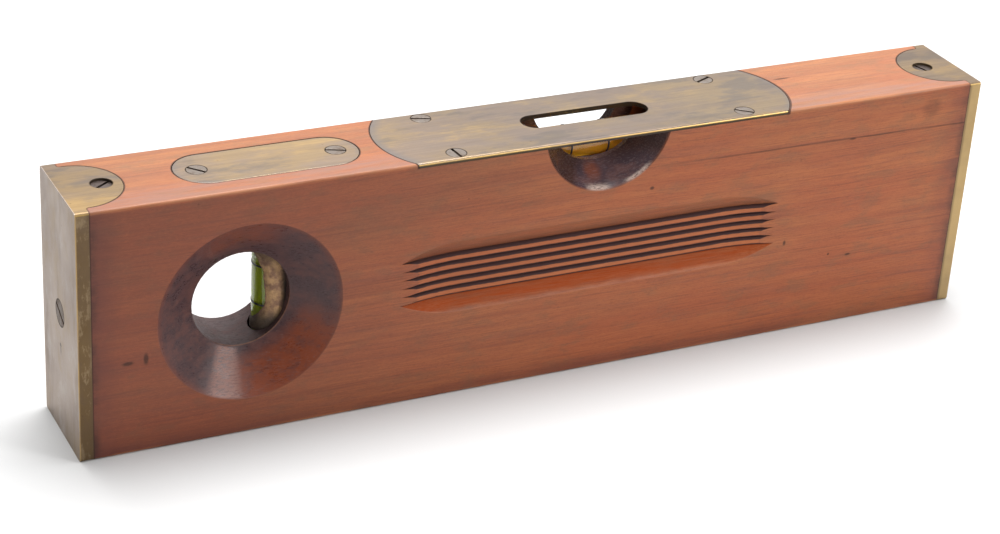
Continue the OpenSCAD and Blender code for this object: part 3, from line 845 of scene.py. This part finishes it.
def brass_material(choice, name, dull, shade):
    """Old brass: khaki with grey and golden clouds, brown spots, fine marks and worn edges."""
    material, wires = new_material(name)
    place = wires.place()
    x, y, z = place.split()
    side_x, side_y = abs(x), abs(y)
    at_left, at_right = x.span(0.0, -1.0), x.span(0.0, 1.0)
    off_caps = side_x.span(80.0, 76.0)
    cloud = place.noise((0.035, 0.07, 0.05), 5.0, 0.65)
    other = place.scaled((0.040, 0.11, 0.06)).moved((7.3, 2.1, 4.4)).noise(1.0, 5.0, 0.65)
    marks = place.group("fine marks", Stretch=(0.03, 1.6, 1.6), Depth=0.60)
    specks = place.group("specks", Density=0.22, Share=0.35, Radius=0.09)["Mask"]
    tone = wires.mix(cloud.span(0.40, 0.60), choice.khaki_tone, choice.grey_tone).coats(
        (choice.gold_tone, other.span(0.52, 0.70, 0.0, 0.8)),
        (choice.blue_tone, other.span(0.48, 0.36, 0.0, 0.6)),
        (choice.tarnish_tone, marks["Height"].span(0.35, 0.65, 0.22, 0.0)),
        (choice.tarnish_tone, specks * 0.5),
    )
    tone = tone.tinted((shade, shade * 0.94, shade * 0.84), 1.0)
    tone = tone.tinted((0.80, 0.83, 0.90), x.span(-60.0, -10.0) * off_caps)

    # The strips on the long sides of the caps: dark olive at the left, golden at the right
    strip = side_y.span(HALF_T - 0.25, HALF_T - 0.05) * side_x.span(122.0, 123.0)
    patch = place.noise((0.1, 0.1, 0.08), 4.0, 0.6)
    grime = place.noise((0.3, 0.3, 0.13), 5.0, 0.7)
    olive = strip * at_left * patch.span(0.3, 0.7, 0.98, 0.75) * z.span(66.0, 60.0, 0.45, 1.0)
    tone = tone.coats(
        (choice.gold_tone, strip * at_right * patch.span(0.3, 0.7, 1.0, 0.6)),
        (choice.olive_tone, olive),
        (choice.tarnish_tone, strip * at_left * grime.span(0.50, 0.62, 0.0, 0.60)),
        (choice.khaki_tone, strip * at_left * grime.span(0.48, 0.38, 0.0, 0.55)),
        (choice.tarnish_tone, strip * side_x.span(124.6, 123.7) * 0.6),
    )

    # The end faces are greyer, with stains, a drip under the left one's screw and a golden foot
    end = side_x.span(END - 0.25, END - 0.08)
    drip = place.noise((0.1, 0.22, 0.05), 4.0, 0.6)
    stain = place.noise((0.1, 0.16, 0.10), 5.0, 0.65)
    drop = either(
        place.mark((-END, 0.1, 25.2), (1.0, 0.9, 0.7)),
        place.mark((-END, 0.0, 24.2), (1.0, 0.40, 2.4)),
    )
    tone = tone.coats(
        (choice.end_tone, end * 0.85),
        (choice.tarnish_tone, end * drip.span(0.5, 0.7, 0.0, 0.32)),
        (choice.khaki_tone, end * stain.span(0.50, 0.66, 0.0, 0.45)),
        (choice.pale_tone, end * stain.span(0.46, 0.34, 0.0, 0.35)),
        (choice.joint_tone, drop * 0.8),
        (choice.khaki_tone, end * z.span(12.0, 0.0) * drip.span(0.3, 0.7, 0.2, 0.8) * y.span(0.0, -8.0)),
    )

    # Tarnish along the round ends of the sight plate and round the plumb plate
    left_arc, right_arc = [distance(x, y, centre) for centre in SIGHT_ARCS]
    round_end = either(
        left_arc.span(18.2, SIGHT_ARC_R) * x.span(-27.0, -30.0) * x.span(-50.0, -48.0),
        right_arc.span(19.8, SIGHT_ARC_R, 0.0, 0.6) * x.span(53.0, 56.0) * x.span(74.0, 72.0),
    )
    plumb_edge = round_ended(x, y, PLUMB_MIDDLE, PLUMB_STRAIGHT).span(6.6, PLUMB_R)
    plumb_edge = plumb_edge * x.span(-50.0, -51.0) * x.span(-99.5, -98.5) * other.span(0.35, 0.6, 1.0, 0.3)
    tone = tone.coats((choice.blue_tone, round_end * 0.65), (choice.blue_tone, plumb_edge * 0.55))

    # Dirt in the seats of the screws and on the wall of the sighting slot, and a painted shadow line along
    # the lower half of the sight plate's edge
    seat_r = 2.62
    seats = either(
        distance(abs(x - SIGHT_MIDDLE), side_y, SIGHT_SCREWS).span(seat_r + 0.24, seat_r),
        distance(abs(x - PLUMB_MIDDLE), y, PLUMB_SCREWS).span(seat_r + 0.24, seat_r),
    )
    slot = round_ended(x, y, SIGHT_MIDDLE, SLOT_STRAIGHT).span(SLOT_R + 0.12, SLOT_R - 0.05)
    in_lug = either(*[distance(x, y, (at, 0.0)).span(3.0, 2.78) for at in LUG_SCREWS])
    # Painted shadow: a dark line along the lower half of the sight plate's front and back edges
    under = side_y.span(HALF_T - 0.30, HALF_T - 0.12) * z.span(TOP - 0.50, TOP - 0.66)
    joint_dirt_and_shade = either(
        z.span(TOP - 1.9, TOP - 1.5) * either(seats, slot),
        in_lug * 0.6,
        end * distance(y, z, END_SCREW).span(END_SCREW_R + 0.3, END_SCREW_R),
        under * z.span(TOP - 1.4, TOP - 1.2) * off_caps * 0.8,
    )

    # Edges kept bright by hands
    long_edge = side_y.span(HALF_T - 0.18, HALF_T - 0.06) * z.span(TOP - 0.75, TOP - 0.5)
    end_edge = side_x.span(END - 0.4, END - 0.15) * side_y.span(HALF_T - 0.40, HALF_T - 0.12)
    rub = place.noise((0.06, 0.3, 0.12), 3.0, 0.6)
    worn = either(long_edge, end_edge * 0.6) * rub.span(0.35, 0.55, 0.45, 1.0)
    tone = tone.coats((choice.joint_tone, joint_dirt_and_shade * 0.85), (choice.worn_tone, worn))

    wires.shade({
        "Base Color": tone,
        "Metallic": 1.0,
        "Roughness": cloud.span(0.3, 0.7, dull - 0.06, dull + 0.06) + specks * 0.15 + joint_dirt_and_shade * 0.3,
        "Normal": wires.bump(marks["Height"] * 0.5 - specks * 0.6, 0.3, 0.00006),
    })
    return material


class LEVEL_OT_stock(bpy.types.Operator):
    """Makes the wooden stock"""

    bl_idname = "level.stock"
    bl_label = "Stock"

    def execute(self, context):
        choice = context.scene.level_wood
        piece = soft_copy("stock", "wooden_stock", choice.softness)
        finish_piece(piece, wood_material(choice), "stained_wood", "tool", "stock")
        return {"FINISHED"}


class LEVEL_OT_plates(bpy.types.Operator):
    """Makes the end caps, the sight plate and the plumb plate"""

    bl_idname = "level.plates"
    bl_label = "Brass plates"

    def execute(self, context):
        choice = context.scene.level_brass
        for slot, dull, shade, nodes in (
            ("brass_caps", 0.50, 0.76, ("left_end_cap", "right_end_cap")),
            ("brass_plates", 0.42, 0.96, ("sight_plate", "plumb_plate")),
        ):
            brass = brass_material(choice, slot, dull, shade)
            for node in nodes:
                finish_piece(soft_copy(node, node + "_worn", choice.softness), brass, slot, "tool", node)
        return {"FINISHED"}


# Turned pieces: one tree turns a drawn outline round an axis, and the vials and screws build on it


def finish_tree(wires, geometry, given, result):
    """Every tree of a piece ends here: instances made real, faces smooth, material set."""
    real = wires.out("GeometryNodeRealizeInstances", {"Geometry": geometry})
    smooth = wires.out("GeometryNodeSetShadeSmooth", {"Geometry": real, "Shade Smooth": True})
    done = wires.out("GeometryNodeSetMaterial", {"Geometry": smooth, "Material": given["Material"]})
    wires.put(result["Mesh"], done)


def vial_tree():
    """A turned piece tilted and set in its place."""
    tree, wires, given, result = new_group(
        "Turned vial piece",
        "GeometryNodeTree",
        [
            ("Outline", "Geometry", None),
            ("Facets", "Int", 96),
            ("Tilt", "Vector", (0.0, 0.0, 0.0)),
            ("Place", "Vector", (0.0, 0.0, 0.0)),
            ("Material", "Material", None),
        ],
        [("Mesh", "Geometry")],
    )
    outline = {"Outline": given["Outline"], "Facets": given["Facets"]}
    body = wires.out("GeometryNodeGroup", outline, node_tree=shared("turned outline"))
    seat = {"Geometry": body, "Rotation": given["Tilt"], "Translation": given["Place"]}
    finish_tree(wires, wires.out("GeometryNodeTransform", seat), given, result)
    return tree


def screw_tree():
    """A countersunk slotted screw on every point given, turned by the point's own rotation."""
    tree, wires, given, result = new_group(
        "Slotted screws",
        "GeometryNodeTree",
        [
            ("Places", "Geometry", None),
            ("Head radius", "Float", 0.0025),
            ("Land", "Float", 0.0003),
            ("Shank radius", "Float", 0.0012),
            ("Length", "Float", 0.01),
            ("Point length", "Float", 0.003),
            ("Slot width", "Float", 0.0007),
            ("Slot depth", "Float", 0.0006),
            ("Facets", "Int", 64),
            ("Material", "Material", None),
        ],
        [("Mesh", "Geometry")],
    )
    head, shank, length = given["Head radius"], given["Shank radius"], given["Length"]
    corners = (
        (0.0, 0.0),
        (head, 0.0),
        (head, given["Land"] * -1.0),
        (shank, (given["Land"] + (head - shank)) * -1.0),
        (shank, given["Point length"] - length),
        (shank * 0.15, length * -1.0),
        (0.0, length * -1.0),
    )
    chooser = wires.add("GeometryNodeIndexSwitch", data_type="VECTOR")
    while len(chooser.index_switch_items) < len(corners):
        chooser.index_switch_items.new()
    wires.put(chooser.inputs["Index"], wires.out("GeometryNodeInputIndex"))
    for number, (radius, height) in enumerate(corners):
        wires.put(chooser.inputs[str(number)], wires.join(radius, 0.0, height))
    line = wires.out("GeometryNodeMeshLine", {"Count": len(corners)})
    drawn = {"Geometry": line, "Position": Value(wires, chooser.outputs[0])}
    outline = {"Outline": wires.out("GeometryNodeSetPosition", drawn), "Facets": given["Facets"]}
    body = wires.out("GeometryNodeGroup", outline, node_tree=shared("turned outline"))

    sizes = wires.join(head * 3.0, given["Slot width"], given["Slot depth"] * 2.0)
    pair = {"Mesh 1": body, "Mesh 2": wires.out("GeometryNodeMeshCube", {"Size": sizes})}
    slotted = wires.out("GeometryNodeMeshBoolean", pair, operation="DIFFERENCE", solver="EXACT")
    turn = wires.out("GeometryNodeInputNamedAttribute", {"Name": "turn"}, data_type="QUATERNION")
    rows = {"Points": given["Places"], "Instance": slotted, "Rotation": turn}
    finish_tree(wires, wires.out("GeometryNodeInstanceOnPoints", rows), given, result)
    return tree


def run_tree(piece, tree, values):
    """Runs a tree on a piece with the values named."""
    modifier = piece.modifiers.new(tree.name, "NODES")
    modifier.node_group = tree
    sockets = {item.name: item.identifier for item in tree.interface.items_tree if item.in_out == "INPUT"}
    for name, given in values.items():
        modifier[sockets[name]] = given


def steel_material(name, tone, rust, dull):
    """Old screw metal: fine turning marks and brown spots."""
    material, wires = new_material(name)
    place = wires.place()
    cloud = place.noise((0.5, 0.5, 0.5), 4.0, 0.65)
    fine = place.group("fine marks", Stretch=(0.6, 3.5, 3.5), Depth=0.58)
    spotted = wires.mix(cloud.span(0.45, 0.72, 0.0, 0.8), tone, rust)
    wires.shade({
        "Base Color": spotted.coats((rust, fine["Mask"] * 0.5)),
        "Metallic": 1.0,
        "Roughness": cloud.span(0.35, 0.65, dull - 0.07, dull + 0.1),
        "Normal": wires.bump(fine["Height"], 0.4, 0.00005),
    })
    return material


def turned_by(axis, degrees):
    return Quaternion(axis, math.radians(degrees))


class LEVEL_OT_screws(bpy.types.Operator):
    """Makes every slotted screw, at the places and turns of the frame's screws"""

    bl_idname = "level.screws"
    bl_label = "Screws"

    def execute(self, context):
        choice = context.scene.level_screws
        self.tree = screw_tree()
        bright = steel_material("plate_screw_steel", choice.bright_tone, choice.rust_tone, 0.40)
        dark = steel_material("lug_screw_steel", choice.dark_tone, choice.black_tone, 0.45)
        golden = steel_material("end_screw_brass", choice.golden_tone, choice.rust_tone, 0.45)
        end = (3.35, 1.7, 16, golden, "brass_screws")
        lug = (2.7, 1.2, 12, dark, "dark_steel")
        plate = (2.5, 1.2, 10, bright, "bright_steel")
        up, down = Quaternion(), turned_by(X_AXIS, 180)
        left, right = turned_by(Y_AXIS, -90), turned_by(Y_AXIS, 90)
        for node, kind, turns in (
            # The kind is head and shank radius, length, material and slot; each screw faces one way, then its
            # slot is turned by some degrees
            ("left_end_screw", end, ((left, 62),)),
            ("right_end_screw", end, ((right, 18),)),
            ("left_lug_screws", lug, ((down, -35), (up, 35))),
            ("right_lug_screws", lug, ((down, 75), (up, -75))),
            ("sight_plate_screws", plate, ((up, -85), (up, -20), (up, -39), (up, 25))),
            ("plumb_plate_screws", plate, ((up, -49), (up, -22))),
        ):
            self.make_screws(choice, node, kind, [facing @ turned_by(Z_AXIS, slot) for facing, slot in turns])
        return {"FINISHED"}

    def make_screws(self, choice, node, kind, turns):
        head, shank, length, material, slot = kind
        boxes = islands(node)
        if len(boxes) != len(turns):
            raise RuntimeError(f"{node}: {len(boxes)} screws in the frame, {len(turns)} turns")
        heads = []
        for (low, high), turn in zip(boxes, turns):
            facing = turn @ Z_AXIS
            reach = [facing[i] * (high[i] - low[i]) / 2 for i in range(3)]
            heads.append((low + high) / 2 + Vector(reach))
        mesh = bpy.data.meshes.new(node)
        mesh.from_pydata(heads, [], [])
        for item, turn in zip(mesh.attributes.new("turn", "QUATERNION", "POINT").data, turns):
            item.value = turn
        piece = add_object(node + "_turned", mesh)
        run_tree(piece, self.tree, {
            "Head radius": head * MM,
            "Shank radius": shank * MM,
            "Length": length * MM,
            "Slot width": choice.slot_width,
            "Slot depth": choice.slot_depth,
            "Material": material,
        })
        soften(piece, choice.softness, 30)
        finish_piece(piece, material, slot, "tool", node)


def rod_outline(radius, half, steps=16):
    """Outline of a rod with round ends, from its top to its foot, each corner a radius and a height."""
    corners = []
    for number in range(steps + 1):
        angle = math.pi / 2 * number / steps
        corners.append((radius * math.sin(angle), half - radius + radius * math.cos(angle)))
    return corners + [(r, -h) for r, h in reversed(corners)]


def glass_outline(radius, half, nib_radius, nib_length, steps=8):
    """A rod with round ends whose foot is drawn out to a nib."""
    corners = rod_outline(radius, half)
    while corners[-1][0] < nib_radius * 1.25:
        corners.pop()
    nib_end = -half - nib_length
    for number in range(steps + 1):
        angle = math.pi / 2 * number / steps
        corners.append((nib_radius * math.cos(angle), nib_end + nib_radius - nib_radius * math.sin(angle)))
    return corners


def ring_outline(inner, outer, middle_at, half):
    """A closed outline of a painted ring, with its outer corners rounded off."""
    round_off = 0.03 * MM
    flat = half * 0.7
    return [
        (inner, middle_at - half),
        (outer - round_off, middle_at - half),
        (outer, middle_at - flat),
        (outer, middle_at + flat),
        (outer - round_off, middle_at + half),
        (inner, middle_at + half),
        (inner, middle_at - half),
    ]


def glass_material():
    material, wires = new_material("vial_glass")
    smear = wires.place().noise((0.35, 0.35, 0.35), 4.0, 0.6)
    wires.shade({
        "Base Color": wires.mix(smear.span(0.4, 0.7), (0.97, 0.99, 0.96), (0.93, 0.95, 0.89)),
        "Metallic": 0.0,
        "Transmission Weight": 1.0,
        "IOR": 1.5,
        "Roughness": smear.span(0.45, 0.75, 0.0, 0.05),
    })
    return material


def clear_material(name, tone, stretch, clear, bend, bedded_tone=None):
    """Liquid or vapour, partly clear; bedded_tone is its painted shade where the level vial lies hidden in
    its plaster beyond the eye.
    """
    material, wires = new_material(name)
    place = wires.place()
    drift = place.noise((stretch, stretch, stretch))
    colour = wires.mix(drift.span(0.3, 0.7), tone, Vector(tone) * 0.85)
    if bedded_tone is not None:
        # Painted shade: the level liquid is darkened where its tube lies in the plaster beyond the eye
        from_eye = abs(place.split()[0] - LEVEL_EYE[0])
        bedded_shade = from_eye.span(11.5, 14.5) * from_eye.span(32.0, 30.0)
        colour = colour.coats((bedded_tone, bedded_shade * 0.85))
    wires.shade({
        "Base Color": colour,
        "Metallic": 0.0,
        "Transmission Weight": clear,
        "IOR": bend,
        "Roughness": 0.0,
    })
    return material


def paint_material():
    material, wires = new_material("black_paint")
    worn = wires.place().noise((1.5, 1.5, 1.5), 4.0, 0.7)
    wires.shade({
        "Base Color": wires.mix(worn.span(0.55, 0.7), (0.008, 0.008, 0.009), (0.05, 0.045, 0.04)),
        "Roughness": worn.span(0.3, 0.7, 0.3, 0.5),
        "Normal": wires.bump(worn, 0.4, 0.00003),
    })
    return material


def plaster_material(choice):
    """Stained plaster, darker deep in the plumb vial's seat from dirt and painted shade."""
    material, wires = new_material("plaster")
    place = wires.place()
    x, _, z = place.split()
    lumps = place.noise((0.5, 0.5, 0.5), 5.0, 0.6)
    fine = place.noise((4.0, 4.0, 4.0), 3.0, 0.6)
    # Dirt and painted shade: darker toward the right of the plumb tube and toward the ends of its window
    grime_and_shade = either(
        x.span(-72.6, -70.6, 0.0, 0.92),
        z.span(29.0, 24.5, 0.0, 0.9),
        z.span(39.5, 43.5, 0.0, 0.6),
    )
    tone = wires.mix(lumps.span(0.35, 0.65), choice.plaster_tone, choice.plaster_dark_tone).coats(
        (choice.plaster_dark_tone, fine.span(0.5, 0.75, 0.0, 0.5)),
        (choice.plaster_dirt_tone, grime_and_shade * x.span(-60.0, -65.0)),
    )
    wires.shade({
        "Base Color": tone,
        "Roughness": fine.span(0.3, 0.7, 0.8, 0.95),
        "Normal": wires.bump(lumps + fine, 0.7, 0.0003),
    })
    return material


class LEVEL_OT_vials(bpy.types.Operator):
    """Makes both spirit vials: glass, liquid, bubble, black lines and plaster"""

    bl_idname = "level.vials"
    bl_label = "Vials"

    def execute(self, context):
        choice = self.choice = context.scene.level_vials
        self.bore = choice.radius - choice.wall
        self.bubble_radius = self.bore + choice.wetting + 0.02 * MM
        self.tree = vial_tree()
        self.glass = glass_material()
        amber = clear_material("amber_spirit", choice.level_tone, 0.2, 0.50, 1.36, choice.bedded_tone)
        green = clear_material("green_spirit", choice.plumb_tone, 0.2, 0.66, 1.36)
        self.vapour = clear_material("vapour", choice.bubble_tone, 0.4, 0.30, 1.33)
        self.paint = paint_material()
        level, plumb = middle("level_vial_lines"), middle("plumb_vial_lines")
        self.vial("level", level, (0.0, math.pi / 2, 0.0), amber)
        self.vial("plumb", plumb, (0.0, 0.0, 0.0), green)
        self.level_bubble(level)
        self.plumb_bubble()
        plaster = plaster_material(choice)
        self.putty(plumb, plaster)
        for node in ("level_vial_plaster", "plumb_vial_plaster"):
            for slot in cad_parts[node].material_slots:
                slot.material = plaster
        return {"FINISHED"}

    def turn(self, name, corners, place, tilt, material):
        """A closed piece of an outline, turned round its axis, tilted and set in its place."""
        mesh = bpy.data.meshes.new(name)
        edges = [(number, number + 1) for number in range(len(corners) - 1)]
        mesh.from_pydata([(radius, 0.0, height) for radius, height in corners], edges, [])
        piece = add_object(name, mesh)
        seat = {"Facets": self.choice.facets, "Tilt": tilt, "Place": place, "Material": material}
        run_tree(piece, self.tree, seat)
        evaluated(piece)
        work = bmesh.new()
        work.from_mesh(piece.data)
        bmesh.ops.remove_doubles(work, verts=work.verts, dist=SAME_POINT)
        bmesh.ops.recalc_face_normals(work, faces=work.faces)
        work.to_mesh(piece.data)
        work.free()
        return piece

    def vial(self, name, place, tilt, spirit):
        choice = self.choice
        half = choice.length / 2
        inside_half = half - choice.wall
        name += "_vial_"
        outside = glass_outline(choice.radius, half, choice.nib_radius, choice.nib_length)
        shell = self.turn(name + "shell", outside, place, tilt, self.glass)
        inside = self.turn(name + "bore", rod_outline(self.bore, inside_half), place, tilt, self.glass)
        tube = joined(inside, shell, name + "tube", flip=True)
        # Light reaches the liquid through the glass, which would otherwise shade it
        tube.visible_shadow = False
        finish_piece(tube, self.glass, "vial_glass", "tool", name + "glass")

        # The liquid reaches a little into the glass, so that no air shows between them
        liquid = rod_outline(self.bore + choice.wetting, inside_half + choice.wetting)
        rod = self.turn(name + "liquid", liquid, place, tilt, spirit)
        finish_piece(rod, spirit, "spirit", "tool", name + "spirit")

        rings = []
        for side in (-1, 1):
            middle_at = side * choice.mark_gap / 2
            outer = choice.radius + choice.paint
            corners = ring_outline(choice.radius, outer, middle_at, choice.mark_width / 2)
            rings.append(self.turn(name + "ring", corners, place, tilt, self.paint))
        marks = joined(*rings, name + "marks")
        finish_piece(marks, self.paint, "black_paint", "tool", name + "lines")

    def level_bubble(self, place):
        """A lens of vapour under the top of the tube: round-ended from above, domed below.

        It reaches just through the liquid's surface, so that it shows through the glass.
        """
        low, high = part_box("level_vial_bubble")
        length, width, deep = high - low
        dome = self.bubble_radius
        around, along = 24, 40
        work = bmesh.new()
        rings = []
        for i in range(along + 1):
            u = -math.cos(math.pi * i / along)
            swell = (1 - u ** 4) ** 0.5
            ring = []
            for j in range(2 * around):
                top = j <= around
                v = -math.cos(math.pi * (j if top else 2 * around - j) / around)
                y = v * width / 2 * swell
                over = math.sqrt(max(dome * dome - y * y, 0.0))
                sag = 0.0 if top else deep * swell * math.sqrt(max(1 - v * v, 0.0))
                ring.append(work.verts.new((place.x + u * length / 2, place.y + y, place.z + over - sag)))
            rings.append(ring)
        skin(work, rings)
        bmesh.ops.remove_doubles(work, verts=work.verts, dist=0.01 * MM)
        bmesh.ops.recalc_face_normals(work, faces=work.faces)
        piece = smooth_object("level_vial_air", work)
        finish_piece(piece, self.vapour, "vapour", "level_bubble", "level_vial_bubble")

    def plumb_bubble(self):
        low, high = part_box("plumb_vial_bubble")
        outline = rod_outline(self.bubble_radius, (high.z - low.z) / 2)
        piece = self.turn("plumb_vial_air", outline, (low + high) / 2, (0.0, 0.0, 0.0), self.vapour)
        finish_piece(piece, self.vapour, "vapour", "plumb_bubble", "plumb_vial_bubble")

    def putty(self, place, plaster):
        """Plaster smeared round the plumb tube, with a ragged window left open toward the eye's middle."""
        eye_z = PLUMB_EYE[1]
        low, high = eye_z - EYE_R + 1.0, eye_z + EYE_R - 1.0
        inner = self.choice.radius + 0.015 * MM
        most = self.choice.radius + 0.80 * MM - inner
        rows, columns = 72, 60
        # The window's sides, in degrees at its middle, and how far each swings round to close it at its ends
        edges = ((-127.0, -83.0, 1.7), (62.0, 88.0, 8.3))
        window_z = place.z / MM - 0.4
        open_half, closing = 3.0, 6.8
        work = bmesh.new()
        rings = []
        for i in range(rows + 1):
            z = low + (high - low) * i / rows
            closed = min(1.0, max(0.0, (abs(z - window_z) - open_half) / closing))
            closed = 1 - math.sqrt(1 - closed * closed)
            sides = []
            for at, swing, seed in edges:
                ragged = noise.fractal(Vector((seed, 4.1, z * 0.22)), 1.0, 2.0, 3) * 11.0 * (1 - closed)
                sides.append(math.radians(at + swing * closed + ragged))
            first, last = sides
            outside = []
            for j in range(columns + 1):
                angle = first + (last - first) * j / columns
                from_edge = min(j, columns - j) / columns
                around = Vector((math.cos(angle) * 3.0, math.sin(angle) * 3.0, z * 0.8))
                lumps = 0.80 + 0.25 * noise.fractal(around, 1.0, 2.0, 4)
                thick = most * min(1.0, 0.15 + from_edge * 8.0) * lumps
                outside.append((angle, inner + min(max(thick, 0.0), most)))
            ring = []
            for angle, radius in outside + [(angle, inner) for angle, _ in reversed(outside)]:
                x, y = place.x + radius * math.cos(angle), place.y + radius * math.sin(angle)
                ring.append(work.verts.new((x, y, z * MM)))
            rings.append(ring)
        skin(work, rings)
        count = len(rings[0])
        for ring in (rings[0], rings[-1]):
            for j in range(columns):
                work.faces.new((ring[j], ring[j + 1], ring[count - 2 - j], ring[count - 1 - j]))
        bmesh.ops.recalc_face_normals(work, faces=work.faces)
        finish_piece(smooth_object("plumb_vial_putty", work), plaster, "plaster", "tool")


OPERATORS = [LEVEL_OT_stage, LEVEL_OT_stock, LEVEL_OT_plates, LEVEL_OT_screws, LEVEL_OT_vials]


class LEVEL_PT_bench(bpy.types.Panel):
    bl_idname = "LEVEL_PT_bench"
    bl_label = "Plumb and level"
    bl_space_type = "VIEW_3D"
    bl_region_type = "UI"
    bl_category = "Level"

    def draw(self, context):
        for operator in OPERATORS:
            self.layout.operator(operator.bl_idname)
        for name in SETTINGS:
            group = getattr(context.scene, name)
            box = self.layout.box()
            for key in group.__annotations__:
                box.prop(group, key)


def register():
    for group in SETTINGS.values():
        bpy.utils.register_class(group)
    for name, group in SETTINGS.items():
        setattr(bpy.types.Scene, name, PointerProperty(type=group))
    for operator in OPERATORS:
        bpy.utils.register_class(operator)
    bpy.utils.register_class(LEVEL_PT_bench)


def unregister():
    bpy.utils.unregister_class(LEVEL_PT_bench)
    for operator in reversed(OPERATORS):
        bpy.utils.unregister_class(operator)
    for name in SETTINGS:
        delattr(bpy.types.Scene, name)
    for group in reversed(list(SETTINGS.values())):
        bpy.utils.unregister_class(group)


def main():
    register()
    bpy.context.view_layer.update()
    bpy.ops.level.stage()
    bpy.ops.level.stock()
    bpy.ops.level.plates()
    bpy.ops.level.screws()
    bpy.ops.level.vials()


if __name__ == "__main__":
    main()
